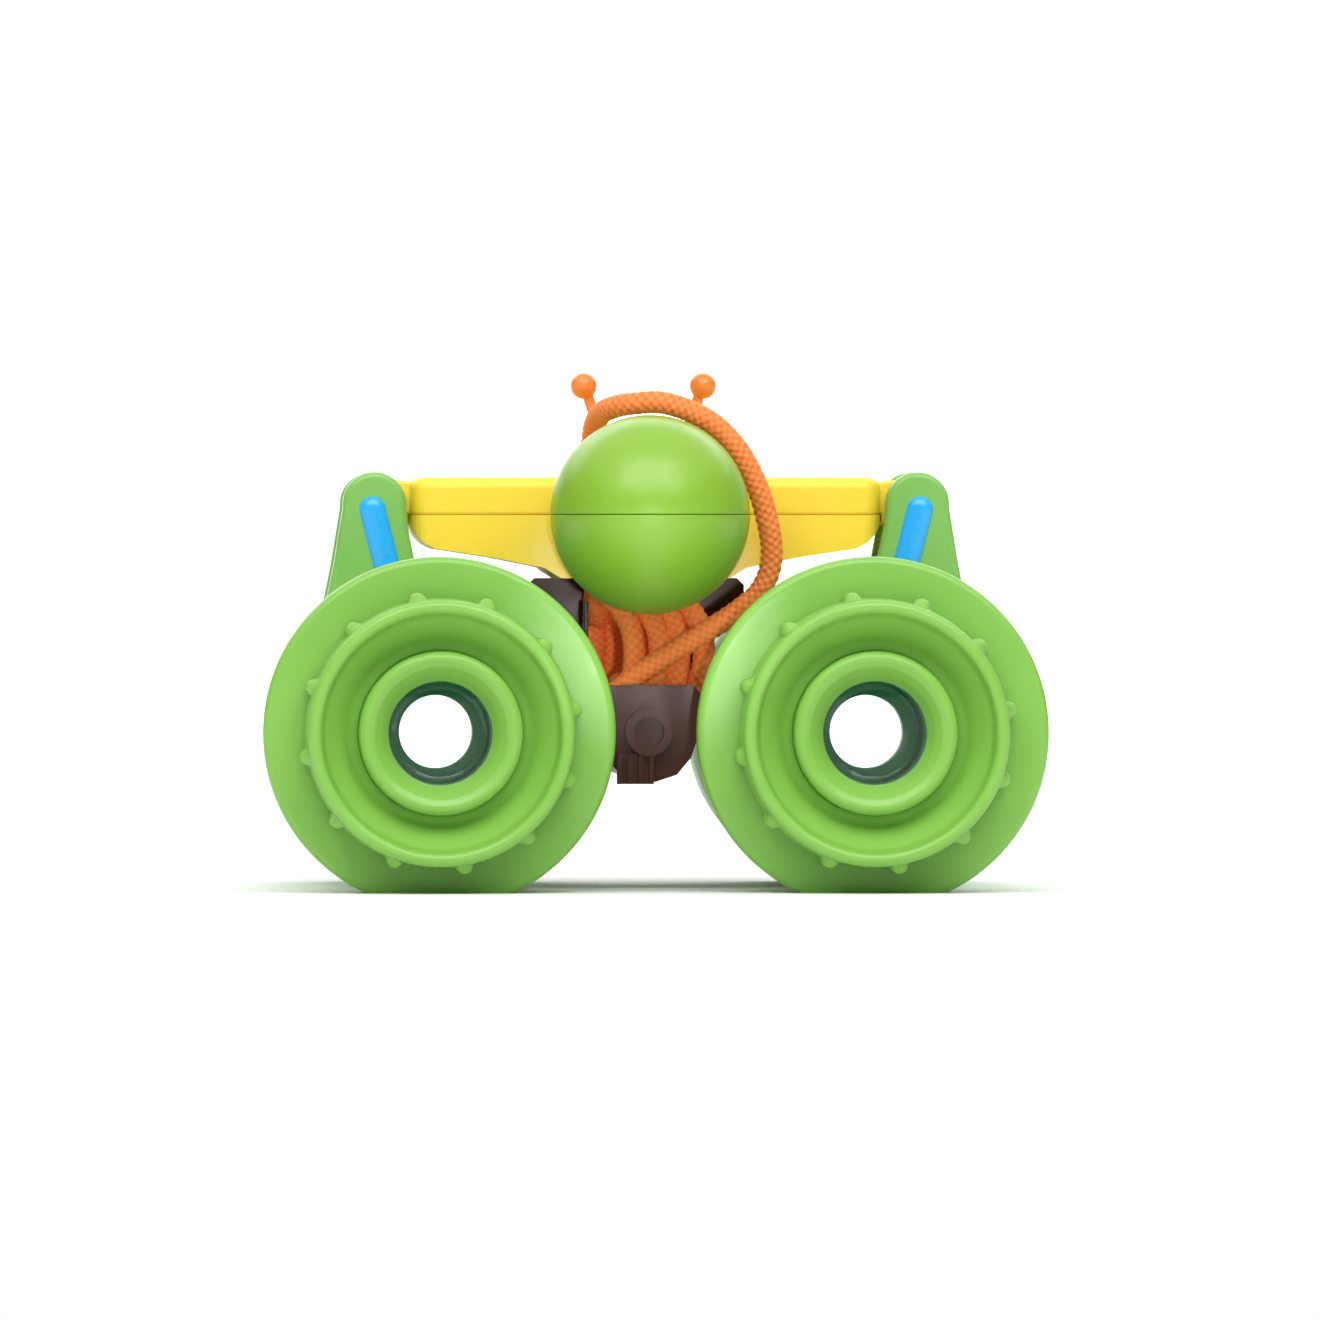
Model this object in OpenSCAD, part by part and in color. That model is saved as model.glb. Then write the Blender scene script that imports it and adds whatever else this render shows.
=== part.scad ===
// Toy binoculars: two swinging barrels under a bridge, twist-to-focus
// eyecups, a round knob ball in front and a braided neck cord.
// Millimetres. +X right, -Y towards the eyes, +Z up, feet on Z = 0.

/* [Barrels] */
// Distance between the two barrel axes
eye_spacing = 60.8; // [60:0.1:62]
// Height of the barrel axes above the feet
axis_z = 22.4; // [22:0.1:23]
// Radius of the rear flange and of the objective bell
flange_r = 24.7; // [24.2:0.1:25.2]
// Outer radius of the barrel tube
tube_r = 20; // [19.6:0.1:20.2]
// Inner radius of the barrel tube
tube_in_r = 17.6; // [17.4:0.1:18]

/* [Eyecups] */
// Outer radius of the eyecup lip
cup_r = 18.6; // [18.2:0.1:19]
// Number of grip nubs round the eyecup
nub_count = 12; // [8:1:16]
// Radius of one grip nub
nub_r = 1.25; // [0.8:0.05:1.5]
// Half of the focus ring's turn, in degrees
focus_half_turn = 60; // [40:5:60]
// Half of the lens carrier's travel
focus_half_travel = 1.2; // [0.8:0.1:1.2]

/* [Lenses] */
// Radius of curvature of the objective lens front
objective_curve = 60; // [55:1:70]
// Radius of curvature of the eye lens hollow
eye_curve = 19; // [16:0.5:20]

/* [Bridge] */
// Half width of the bridge shells
bridge_half = 33.5; // [32:0.1:33.6]
// Height of the parting line
parting_z = 53; // [52.8:0.1:53.2]
// Height of the bridge top
bridge_top = 58.4; // [58.2:0.1:58.8]
// Radius of the ball
ball_r = 14.1; // [13.9:0.1:14.2]

/* [Cord] */
// Diameter of the neck cord
cord_d = 3; // [2.6:0.1:3]
// Number of turns in the folded cord, side by side
hank_turns = 5; // [4:1:5]

/* [Hidden] */
$fn = 64;
bx = eye_spacing / 2;
// hinge pivot of a barrel
piv_x = 38.6;
piv_z = 54.6;
pin_r = 1.55;
// centre of the ball
ball_y = -18;
neck_r = 3;
// radius of the objective bell
bell_r = 22.3;
// slot pitch of the focus ring, mm of travel for each degree
slot_k = focus_half_travel / focus_half_turn;
carrier_pin_y = -38.6;
// folded cord: centre, half length along Y, half height
hank_c = [0, 11.5, 33.7];
hank_half_l = 19.5;
hank_half_h = 9.7;
hank_w = 3.1 * hank_turns;
// radius and depth of the waist where the tie pulls it in
waist_r = 12;
waist_d = 3.6;
// route of the cord from the top grommet over the ball to the folded part
lead_pts = [
    [-7.6, 0.8, 59.6], [-7.6, 0.77, 60.6], [-7.58, 0.5, 62.1], [-7.5, -0.15, 63.6],
    [-7.35, -1.25, 65], [-7.1, -2.8, 66.2], [-6.7, -4.9, 67.1], [-6.15, -7.5, 67.7],
    [-5.3, -10.3, 68.1], [-4, -12.9, 68.5], [-1.6, -14.9, 68.8], [1.6, -15.8, 68.9],
    [5.2, -15.8, 67.9], [8.7, -15.7, 66.1], [11.7, -15.3, 63.3], [14.1, -14.7, 59.7],
    [15.9, -13.9, 55.5], [17, -13.1, 51.4], [17.5, -12.4, 48.4], [17.4, -11.9, 46],
    [16.8, -11.5, 43.9], [15.7, -11.2, 42], [14.2, -11, 40.5], [11.8, -10.7, 38.7],
    [9.1, -10.5, 37], [6.4, -10.3, 35.3], [3.4, -10.1, 33.5], [0.6, -9.8, 31.7],
    [-2, -9.2, 29.8], [-4.3, -7.7, 27.8], [-5.8, -5.4, 26.3], [-6.2, -2.9, 25.6],
    [-6.2, -0.5, 25.5]
];
// route from the folded part up to the rear grommet
tail_pts = [
    [6.2, 29.5, 33.7], [6.2, 29.45, 36], [6.2, 29.25, 38.2], [6.2, 29, 40],
    [6.2, 28.9, 41], [6.2, 28.9, 41.95]
];

// ---- helpers -------------------------------------------------------------

// the right side as drawn, the left side mirrored
module side(s) {
    if (s < 0) mirror([1, 0, 0]) children();
    else children();
}

// local Z becomes the barrel axis (world +Y)
module on_axis() {
    translate([bx, 0, axis_z]) rotate([-90, 0, 0]) children();
}

// a body turned about the barrel axis from [radius, y] points
module turned(pts, fn = 96) {
    on_axis() rotate_extrude($fn = fn) polygon(pts);
}

// XZ outline extruded along Y from y0 to y1
module along_y(y0, y1) {
    translate([0, y1, 0]) rotate([90, 0, 0]) linear_extrude(height = y1 - y0) children();
}

// rod along Y at x, z
module rod_y(x, z, y0, y1, r, fn = 48) {
    translate([x, y0, z]) rotate([-90, 0, 0]) cylinder(r = r, h = y1 - y0, $fn = fn);
}

function unit(v) = v / norm(v);
function tangent(p, i) =
    unit(i == 0 ? p[1] - p[0] : i == len(p) - 1 ? p[i] - p[i - 1] : p[i + 1] - p[i - 1]);
function start_normal(t) = unit(cross(t, abs(t[0]) < 0.7 ? [1, 0, 0] : [0, 1, 0]));

// round tube swept along a list of points, with a carried-on normal
module tube_along(p, d, sides = 8) {
    n = len(p);
    nrm = [for (i = 0, v = start_normal(tangent(p, 0)); i < n;
                i = i + 1,
                v = i < n ? unit(v - tangent(p, i) * (v * tangent(p, i))) : v) v];
    pts = [for (i = [0:n - 1]) for (j = [0:sides - 1])
              let (a = 360 * j / sides, b = cross(tangent(p, i), nrm[i]))
              p[i] + d / 2 * (cos(a) * nrm[i] + sin(a) * b)];
    body = [for (i = [0:n - 2]) for (j = [0:sides - 1])
               let (k = (j + 1) % sides)
               [i * sides + j, (i + 1) * sides + j, (i + 1) * sides + k, i * sides + k]];
    polyhedron(points = pts, faces = concat(
        body,
        [[for (j = [0:sides - 1]) j]],
        [[for (j = [0:sides - 1]) (n - 1) * sides + sides - 1 - j]]));
}

// ---- barrel --------------------------------------------------------------

module rear_flange(s) {
    color([0.49, 0.79, 0.34]) side(s) difference() {
        turned([[15.05, -41], [flange_r - 0.7, -41], [flange_r - 0.2, -40.8],
                [flange_r, -40.3], [flange_r, -36.6], [flange_r - 0.6, -36],
                [tube_in_r, -36], [tube_in_r, -33.5], [16.6, -33.5], [16.6, -36],
                [15.05, -36]]);
        translate([bx - 40, -60, -20]) cube([80, 120, 20]);
    }
}

// points of an arc about c, from angle a0 to a1, n steps
function arc(c, r, a0, a1, n = 12) =
    [for (i = [0:n]) let (a = a0 + (a1 - a0) * i / n) [c[0] + r * cos(a), c[1] + r * sin(a)]];

// hinge ear outline in XZ
module ear_outline() {
    polygon(concat(arc([piv_x, piv_z], 4.5, -6, 186, 24),
                   [[33.9, 51.5], [33, 47], [31.2, 40.5], [46.3, 33.5], [45.6, 40], [44.4, 46]]));
}

// capsule outline of the lug strip
module inlay_outline(r) {
    a = [38.9, 53.8];
    b = [36.4, 44];
    ang = atan2(a[1] - b[1], a[0] - b[0]);
    polygon(concat(arc(a, r, ang - 90, ang + 90, 16), arc(b, r, ang + 90, ang + 270, 16)));
}

module barrel_tube(s) {
    color([0.51, 0.79, 0.38]) side(s) difference() {
        union() {
            on_axis() translate([0, 0, -36]) cylinder(r = tube_r, h = 67, $fn = 96);
            along_y(-6, -1) ear_outline();
            along_y(12, 17) ear_outline();
        }
        on_axis() translate([0, 0, -40]) cylinder(r = tube_in_r, h = 80, $fn = 96);
        rod_y(piv_x, piv_z, -8, 20, pin_r);
        along_y(-8, -4.5) inlay_outline(1.95);
    }
}

module objective_bell(s) {
    color([0.49, 0.79, 0.34]) side(s) difference() {
        union() {
            turned([[16.2, 27], [tube_in_r, 27], [tube_in_r, 31], [tube_r, 31], [20.2, 32.6],
                    [20.7, 35], [21.4, 37.6], [22, 39.6], [bell_r, 41.6], [bell_r, 50.2],
                    [bell_r - 0.3, 50.8], [bell_r - 0.8, 51], [20.5, 51], [20.5, 46],
                    [19.3, 46], [19.3, 41.4], [17.2, 41.4], [16.6, 36], [16.2, 33]]);
            // foot pad
            difference() {
                along_y(42, 50) polygon([[bx - 6, 0], [bx + 6, 0], [bx + 6.6, 0.6],
                                         [bx + 8.4, 3], [bx - 8.4, 3], [bx - 6.6, 0.6]]);
                on_axis() cylinder(r = 21, h = 60, $fn = 96);
            }
        }
    }
}

module objective_lens(s) {
    color([0.80, 0.92, 0.95, 0.5]) side(s) on_axis() intersection() {
        translate([0, 0, 41.4]) cylinder(r = 19.2, h = 8, $fn = 96);
        translate([0, 0, 42.6 - sqrt(objective_curve * objective_curve - 19.2 * 19.2)])
            sphere(r = objective_curve, $fn = 180);
    }
}

module objective_ring(s) {
    color([0.14, 0.33, 0.20]) side(s)
        turned([[19.3, 42.75], [19.3, 45.9], [18.6, 46], [17.4, 45], [17.2, 44.4],
                [17.2, 43.35], [18.9, 42.85]]);
}

module light_baffle(s) {
    color([0.14, 0.33, 0.20]) side(s)
        turned([[12.5, 8], [tube_in_r, 7], [tube_in_r, 10], [13.5, 10], [12.5, 9]]);
}

module focus_guide(s) {
    color([0.14, 0.33, 0.20]) side(s) difference() {
        turned([[11.56, -43.5], [12.9, -43.5], [12.9, -31], [tube_in_r, -31],
                [tube_in_r, -29], [11.56, -29]]);
        // straight slots for the carrier pins
        on_axis() for (a = [0, 180]) rotate([0, 0, a]) {
            translate([10, -1.1, carrier_pin_y - focus_half_travel])
                cube([5, 2.2, 2 * focus_half_travel]);
            for (e = [-1, 1])
                translate([10, 0, carrier_pin_y + e * focus_half_travel])
                    rotate([0, 90, 0]) cylinder(r = 1.1, h = 5, $fn = 32);
        }
    }
}

module lug_inlay(s) {
    color([0.26, 0.70, 0.96]) side(s) along_y(-6.9, -4.5) inlay_outline(1.95);
}

module hinge_pin(s) {
    color([0.72, 0.73, 0.75]) side(s) {
        rod_y(piv_x, piv_z, -4.4, 17.6, pin_r);
        rod_y(piv_x, piv_z, 17, 18.2, 2.4);
    }
}

// ---- focus ring and lens carrier -----------------------------------------

module eyecup(s) {
    color([0.53, 0.81, 0.36]) side(s) difference() {
        union() {
            turned([[13, -33.2], [15, -33.2], [15, -34.6], [14.2, -34.6], [14.2, -35.8],
                    [15, -35.8], [15, -41.3], [18.7, -41.3], [18.9, -41.6], [18.9, -44],
                    [cup_r, -49.8], [cup_r - 0.25, -50.6], [cup_r - 0.95, -51],
                    [cup_r - 1.65, -50.6], [cup_r - 1.9, -49.8], [16.2, -48.2],
                    [12.4, -44.6], [11.8, -44.5], [11.8, -43.8], [13, -43.8]]);
            on_axis() for (i = [0:nub_count - 1]) rotate([0, 0, 10 + 360 / nub_count * i])
                translate([18.7, 0, -47.2]) {
                    cylinder(r = nub_r, h = 5.4, $fn = 32);
                    sphere(r = nub_r, $fn = 32);
                }
        }
        // helical slots, drilled hole beside hole, that drive the carrier pins
        on_axis() for (b = [0, 180]) for (a = [-focus_half_turn:5:focus_half_turn])
            rotate([0, 0, a + b]) translate([12, 0, carrier_pin_y + slot_k * a])
                rotate([0, 90, 0]) cylinder(r = 1.25, h = 3.6, $fn = 32);
    }
}

module ring_clip(s) {
    color([0.86, 0.86, 0.84]) side(s)
        turned([[14.2, -35.8], [16.2, -35.8], [16.2, -34.6], [14.2, -34.6]]);
}

module lens_carrier(s) {
    color([0.53, 0.81, 0.36]) side(s) difference() {
        turned([[7.3, -45.3], [7.6, -46.1], [8.5, -47.1], [9.4, -48], [10, -48.4],
                [10.5, -48.5], [11, -48.3], [11.35, -47.8], [11.5, -47.1], [11.5, -34.5],
                [9.6, -34.5], [9.6, -41], [7.7, -41], [7.7, -44.6], [7.3, -44.6]]);
        on_axis() for (a = [0, 180]) rotate([0, 0, a]) translate([8, 0, carrier_pin_y])
            rotate([0, 90, 0]) cylinder(r = 1, h = 5, $fn = 32);
    }
}

module carrier_pins(s) {
    color([0.72, 0.73, 0.75]) side(s) on_axis() for (a = [0, 180])
        rotate([0, 0, a]) translate([10.2, 0, carrier_pin_y])
            rotate([0, 90, 0]) cylinder(r = 1, h = 4.4, $fn = 32);
}

module eye_lens(s) {
    color([0.80, 0.92, 0.95, 0.5]) side(s) on_axis() difference() {
        translate([0, 0, -44.6]) cylinder(r = 7.7, h = 3, $fn = 96);
        translate([0, 0, -41.6 + sqrt(eye_curve * eye_curve - 7.5 * 7.5)])
            sphere(r = eye_curve, $fn = 180);
    }
}

module lens_retainer(s) {
    color([0.14, 0.33, 0.20]) side(s)
        turned([[7.5, -41.6], [7.7, -41.6], [7.7, -41], [9.6, -41], [9.6, -39.8],
                [7.5, -39.8]]);
}

// ---- bridge --------------------------------------------------------------

// right half of the bridge plan in XY, drawn in by w, from the front to the tail
function plan_half(w) = concat(
    arc([bridge_half - 3, -0.5], 3 - w, -90, 0, 6),
    arc([bridge_half - 5, 22], 5 - w, 0, 90, 8),
    arc([18, 31], 4 + w, 270, 180, 8),
    arc([8, 36], 6 - w, 0, 90, 8));

// plan of the bridge: deck with rounded corners and a narrow tail
module bridge_plan(w) {
    h = plan_half(w);
    polygon(concat(h, [for (i = [len(h) - 1:-1:0]) [-h[i][0], h[i][1]]]));
}

// boat section of the lower shell in XZ, drawn in by w
module boat_outline(w) {
    h = bridge_half - w;
    polygon([[-h, parting_z], [-h, 51.8], [0.8 - h, 50.2 + 0.3 * w], [2 - h, 49 + 0.7 * w],
             [3.6 - h, 48.2 + w], [-22, 47 + w], [-14.5, 45.5 + w], [-12, 44 + w], [12, 44 + w],
             [14.5, 45.5 + w], [22, 47 + w], [h - 3.6, 48.2 + w], [h - 2, 49 + 0.7 * w],
             [h - 0.8, 50.2 + 0.3 * w], [h, 51.8], [h, parting_z]]);
}

screw_xy = [[-25, 4], [25, 4], [-25, 20], [25, 20]];
keel_screw_xy = [[-7, 38.2], [7, 38.2]];

module bridge_upper_shell() {
    color([0.98, 0.85, 0.28]) difference() {
        union() {
            difference() {
                translate([0, 0, parting_z]) linear_extrude(height = bridge_top - parting_z)
                    bridge_plan(0);
                translate([0, 0, parting_z - 1])
                    linear_extrude(height = bridge_top - parting_z - 1) bridge_plan(2);
            }
            // screw bosses
            for (p = screw_xy) translate([p[0], p[1], parting_z])
                cylinder(r = 2.8, h = bridge_top - parting_z - 1, $fn = 40);
            // knuckle arms
            for (s = [-1, 1]) side(s) {
                translate([bridge_half - 1.5, -0.7, parting_z]) cube([7, 12.4, 4.6]);
                translate([bridge_half, -0.7, 51.6]) cube([5.6, 12.4, 5]);
                rod_y(piv_x, piv_z, -0.7, 11.7, 3.6);
            }
        }
        for (s = [-1, 1]) side(s) rod_y(piv_x, piv_z, -2, 13, 1.6);
        for (p = screw_xy) translate([p[0], p[1], parting_z - 1])
            cylinder(r = 1.1, h = 5, $fn = 32);
        rod_y(0, parting_z, -5, 0, neck_r);
        translate([-7.6, 0.8, 55]) cylinder(r = 2, h = 5, $fn = 40);
        for (s = [-1, 1]) translate([5.5 * s, 5, 55]) cylinder(r = 1.1, h = 5, $fn = 32);
    }
}

module bridge_lower_shell() {
    color([0.95, 0.80, 0.24]) difference() {
        union() {
            difference() {
                intersection() {
                    along_y(-3.5, 42) boat_outline(0);
                    translate([0, 0, 40]) linear_extrude(height = parting_z - 40) bridge_plan(0);
                }
                intersection() {
                    along_y(-3.5, 42) boat_outline(2);
                    translate([0, 0, 40]) linear_extrude(height = 20) bridge_plan(2);
                }
            }
            intersection() {
                union() {
                    for (p = screw_xy) translate([p[0], p[1], 40])
                        cylinder(r = 3.6, h = parting_z - 40, $fn = 40);
                    for (p = keel_screw_xy) translate([p[0], p[1], 40])
                        cylinder(r = 2.6, h = 11, $fn = 40);
                }
                along_y(-3.5, 42) boat_outline(0);
            }
        }
        for (p = screw_xy) translate([p[0], p[1], 40]) {
            cylinder(r = 2.4, h = 9.5, $fn = 40);
            cylinder(r = 1.25, h = 20, $fn = 32);
        }
        for (p = keel_screw_xy) translate([p[0], p[1], 40]) cylinder(r = 1.1, h = 10, $fn = 32);
        rod_y(0, parting_z, -5, 0, neck_r);
        translate([6.2, 28.9, 42]) cylinder(r = 1.8, h = 5, $fn = 40);
    }
}

// hollow ball with the hole for the neck
module ball_shell() {
    difference() {
        translate([0, ball_y, parting_z]) sphere(r = ball_r, $fn = 120);
        translate([0, ball_y, parting_z]) sphere(r = ball_r - 2.1, $fn = 120);
        rod_y(0, parting_z, ball_y, ball_y + 20, neck_r);
    }
}

module ball_upper() {
    color([0.58, 0.77, 0.28]) intersection() {
        ball_shell();
        translate([-20, ball_y - 20, parting_z]) cube([40, 40, 20]);
    }
}

module ball_lower() {
    color([0.48, 0.66, 0.22]) intersection() {
        ball_shell();
        translate([-20, ball_y - 20, parting_z - 20]) cube([40, 40, 20]);
    }
}

module neck_stem() {
    color([0.48, 0.66, 0.22]) {
        rod_y(0, parting_z, ball_y + 9, 0.1, neck_r);
        rod_y(0, parting_z, ball_y + 9, ball_y + 10, 6.3);
        // plate that keys the neck inside the bridge
        translate([-6, -1.5, 47.4]) cube([12, 1.6, 8.9]);
    }
}

module feeler(s) {
    color([0.93, 0.55, 0.24]) side(s) {
        translate([5.5, 5, 56.6]) cylinder(r = 1.1, h = 2.4, $fn = 32);
        translate([5.5, 5, bridge_top]) cylinder(r = 1.9, h = 0.9, $fn = 40);
        translate([5.5, 5, 58.9]) rotate([0, atan2(3, 12.5), 0])
            cylinder(r = 0.8, h = norm([3, 12.5]), $fn = 32);
        translate([8.5, 5, 71.4]) sphere(r = 1.9, $fn = 48);
    }
}

// dark keel between the barrels: cradle for the cord, bulkhead and top flange
module underbody() {
    color([0.27, 0.17, 0.16]) difference() {
        union() {
            along_y(-13.6, 34.5) polygon([[-7, 23.2], [-6.4, 23.9], [6.4, 23.9], [7, 23.2],
                [6.8, 21], [6, 18.6], [4, 16.2], [1, 15.2], [-1, 15.2],
                [-4, 16.2], [-6, 18.6], [-6.8, 21]]);
            along_y(31.5, 34.5) polygon([[-6, 18.6], [-6.8, 24], [-8, 30], [-10.6, 35],
                [-13.2, 38], [-15.6, 40.2], [-15.6, 43], [-14.6, 44], [14.6, 44], [15.6, 43],
                [15.6, 40.2], [13.2, 38], [10.6, 35], [8, 30], [6.8, 24], [6, 18.6]]);
            translate([-11.9, 31.5, 42]) cube([23.8, 10, 2]);
            // front plate that holds the folded cord back
            along_y(-13.6, -11.8) polygon([[-7.6, 22.4], [-7.6, 27.4], [-6.4, 28.9], [6.4, 28.9],
                [7.6, 27.4], [7.6, 22.4], [6.8, 21], [6, 18.6], [4, 16.2], [1, 15.2],
                [-1, 15.2], [-4, 16.2], [-6, 18.6], [-6.8, 21]]);
            // round boss on the front plate
            rod_y(0, 22.3, -15.2, -12.4, 3.4);
            // ribbed stub below the boss
            translate([-4.5, -14.3, 14.9]) cube([5.2, 2, 4.4]);
            for (x = [-4.5, -3, -1.5, 0]) translate([x, -14.9, 14.9]) cube([0.7, 1.5, 4.4]);
        }
        rod_y(0, 22.3, -17, -14.2, 2.1);
        for (p = keel_screw_xy) translate([p[0], p[1], 40]) cylinder(r = 1.25, h = 5, $fn = 32);
    }
}

module bridge_screws() {
    color([0.72, 0.73, 0.75]) for (p = screw_xy) translate([p[0], p[1], 0]) {
        translate([0, 0, 49.3]) cylinder(r = 1.1, h = 7, $fn = 32);
        difference() {
            translate([0, 0, 47.8]) cylinder(r = 2.2, h = 1.7, $fn = 40);
            translate([-0.3, -1.4, 47]) cube([0.6, 2.8, 1.5]);
            translate([-1.4, -0.3, 47]) cube([2.8, 0.6, 1.5]);
        }
    }
}

module underbody_screws() {
    color([0.72, 0.73, 0.75]) for (p = keel_screw_xy) translate([p[0], p[1], 0]) {
        translate([0, 0, 41.8]) cylinder(r = 1.1, h = 7, $fn = 32);
        difference() {
            translate([0, 0, 40.4]) cylinder(r = 2.2, h = 1.6, $fn = 40);
            translate([-0.3, -1.4, 39.6]) cube([0.6, 2.8, 1.5]);
            translate([-1.4, -0.3, 39.6]) cube([2.8, 0.6, 1.5]);
        }
    }
}

// ---- cord ----------------------------------------------------------------

module cord_grommet_top() {
    color([0.95, 0.80, 0.24]) {
        translate([-7.6, 0.8, 56.6]) cylinder(r = 2, h = 2.4, $fn = 40);
        translate([-7.6, 0.8, bridge_top]) cylinder(r = 2.6, h = 59.4 - bridge_top, $fn = 40);
    }
}

module cord_grommet_rear() {
    color([0.95, 0.80, 0.24]) {
        translate([6.2, 28.9, 43]) cylinder(r = 1.8, h = 3, $fn = 40);
        translate([6.2, 28.9, 42]) cylinder(r = 2.4, h = 2, $fn = 40);
    }
}

module cord_lead() {
    color([0.96, 0.48, 0.24]) tube_along(lead_pts, cord_d);
}

module cord_tail() {
    color([0.96, 0.48, 0.24]) tube_along(tail_pts, cord_d);
}

// folded cord: a racetrack in YZ, one cord wide for each turn along X
module cord_hank() {
    e = hank_half_l - hank_half_h;
    color([0.92, 0.40, 0.20]) translate(hank_c) rotate([0, 90, 0]) difference() {
        translate([0, 0, -hank_w / 2]) linear_extrude(height = hank_w) union() {
            square([2 * hank_half_h, 2 * e], center = true);
            for (k = [-1, 1]) translate([0, k * e]) circle(r = hank_half_h, $fn = 96);
        }
        for (k = [-1, 1]) translate([k * (hank_half_h + waist_r - waist_d), 0, -20])
            cylinder(r = waist_r, h = 40, $fn = 96);
    }
}

// flat tie round the waist of the folded cord
module cord_tie() {
    h = hank_half_h - waist_d + 0.25;
    color([0.16, 0.16, 0.17]) translate(hank_c) difference() {
        translate([-hank_w / 2 - 0.55, -2, -h - 0.6]) cube([hank_w + 1.1, 4, 2 * h + 1.2]);
        translate([-hank_w / 2, -3, -h]) cube([hank_w, 6, 2 * h]);
    }
}

// ---- nodes ---------------------------------------------------------------

rear_flange(-1);  // left_rear_flange
rear_flange(1);  // right_rear_flange
barrel_tube(-1);  // left_barrel_tube
barrel_tube(1);  // right_barrel_tube
objective_bell(-1);  // left_objective_bell
objective_bell(1);  // right_objective_bell
objective_lens(-1);  // left_objective_lens
objective_lens(1);  // right_objective_lens
objective_ring(-1);  // left_objective_ring
objective_ring(1);  // right_objective_ring
light_baffle(-1);  // left_light_baffle
light_baffle(1);  // right_light_baffle
focus_guide(-1);  // left_focus_guide
focus_guide(1);  // right_focus_guide
lug_inlay(-1);  // left_lug_inlay
lug_inlay(1);  // right_lug_inlay
hinge_pin(-1);  // left_hinge_pin
hinge_pin(1);  // right_hinge_pin
eyecup(-1);  // left_eyecup
eyecup(1);  // right_eyecup
ring_clip(-1);  // left_ring_clip
ring_clip(1);  // right_ring_clip
lens_carrier(-1);  // left_lens_carrier
lens_carrier(1);  // right_lens_carrier
carrier_pins(-1);  // left_carrier_pins
carrier_pins(1);  // right_carrier_pins
eye_lens(-1);  // left_eye_lens
eye_lens(1);  // right_eye_lens
lens_retainer(-1);  // left_lens_retainer
lens_retainer(1);  // right_lens_retainer
bridge_upper_shell();
bridge_lower_shell();
ball_upper();
ball_lower();
neck_stem();
feeler(-1);  // left_feeler
feeler(1);  // right_feeler
underbody();
bridge_screws();
underbody_screws();
cord_grommet_top();
cord_grommet_rear();
cord_lead();
cord_hank();
cord_tail();
cord_tie();
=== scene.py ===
import bpy
import bmesh
import math
import numpy as np
from mathutils import Vector, Matrix


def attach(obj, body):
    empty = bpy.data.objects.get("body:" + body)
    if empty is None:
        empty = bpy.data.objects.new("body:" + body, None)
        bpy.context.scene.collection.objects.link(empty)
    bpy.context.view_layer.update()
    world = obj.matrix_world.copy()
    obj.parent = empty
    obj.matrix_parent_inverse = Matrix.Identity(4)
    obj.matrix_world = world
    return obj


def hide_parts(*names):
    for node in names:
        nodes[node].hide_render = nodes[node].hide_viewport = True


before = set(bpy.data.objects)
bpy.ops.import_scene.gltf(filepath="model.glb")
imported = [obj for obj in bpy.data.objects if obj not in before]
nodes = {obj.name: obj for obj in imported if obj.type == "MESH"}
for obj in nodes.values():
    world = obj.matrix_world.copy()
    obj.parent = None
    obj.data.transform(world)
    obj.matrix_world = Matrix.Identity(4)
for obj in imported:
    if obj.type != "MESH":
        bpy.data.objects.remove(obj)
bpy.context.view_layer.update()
scene = bpy.context.scene

MM = 0.001
BX, BZ = 30.4, 22.4            # barrel axis
PX, PZ = 38.6, 54.6            # hinge pivot
SIDES = (("left", -1), ("right", 1))

# ---------------------------------------------------------------- materials


def new_material(name):
    m = bpy.data.materials.new(name)
    m.use_nodes = True
    nt = m.node_tree
    nt.nodes.clear()
    out = nt.nodes.new("ShaderNodeOutputMaterial")
    sh = nt.nodes.new("ShaderNodeBsdfPrincipled")
    nt.links.new(sh.outputs[0], out.inputs[0])
    return m, nt, sh


def noise(nt, coord, scale, detail=3.0, rough=0.5):
    n = nt.nodes.new("ShaderNodeTexNoise")
    n.inputs["Scale"].default_value = scale
    n.inputs["Detail"].default_value = detail
    n.inputs["Roughness"].default_value = rough
    nt.links.new(coord, n.inputs["Vector"])
    return n.outputs["Fac"]


def remap(nt, value, lo, hi, a=0.0, b=1.0):
    n = nt.nodes.new("ShaderNodeMapRange")
    n.inputs["From Min"].default_value = a
    n.inputs["From Max"].default_value = b
    n.inputs["To Min"].default_value = lo
    n.inputs["To Max"].default_value = hi
    nt.links.new(value, n.inputs["Value"])
    return n.outputs["Result"]


def mix_color(nt, fac, a, b):
    n = nt.nodes.new("ShaderNodeMix")
    n.data_type = "RGBA"
    for sock, v in ((n.inputs[6], a), (n.inputs[7], b)):
        if isinstance(v, tuple):
            sock.default_value = (*v, 1.0)
        else:
            nt.links.new(v, sock)
    if isinstance(fac, float):
        n.inputs[0].default_value = fac
    else:
        nt.links.new(fac, n.inputs[0])
    return n.outputs[2]


def srgb(r, g, b):
    def f(c):
        c /= 255.0
        return c / 12.92 if c <= 0.04045 else ((c + 0.055) / 1.055) ** 2.4
    return f(r), f(g), f(b)


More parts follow.
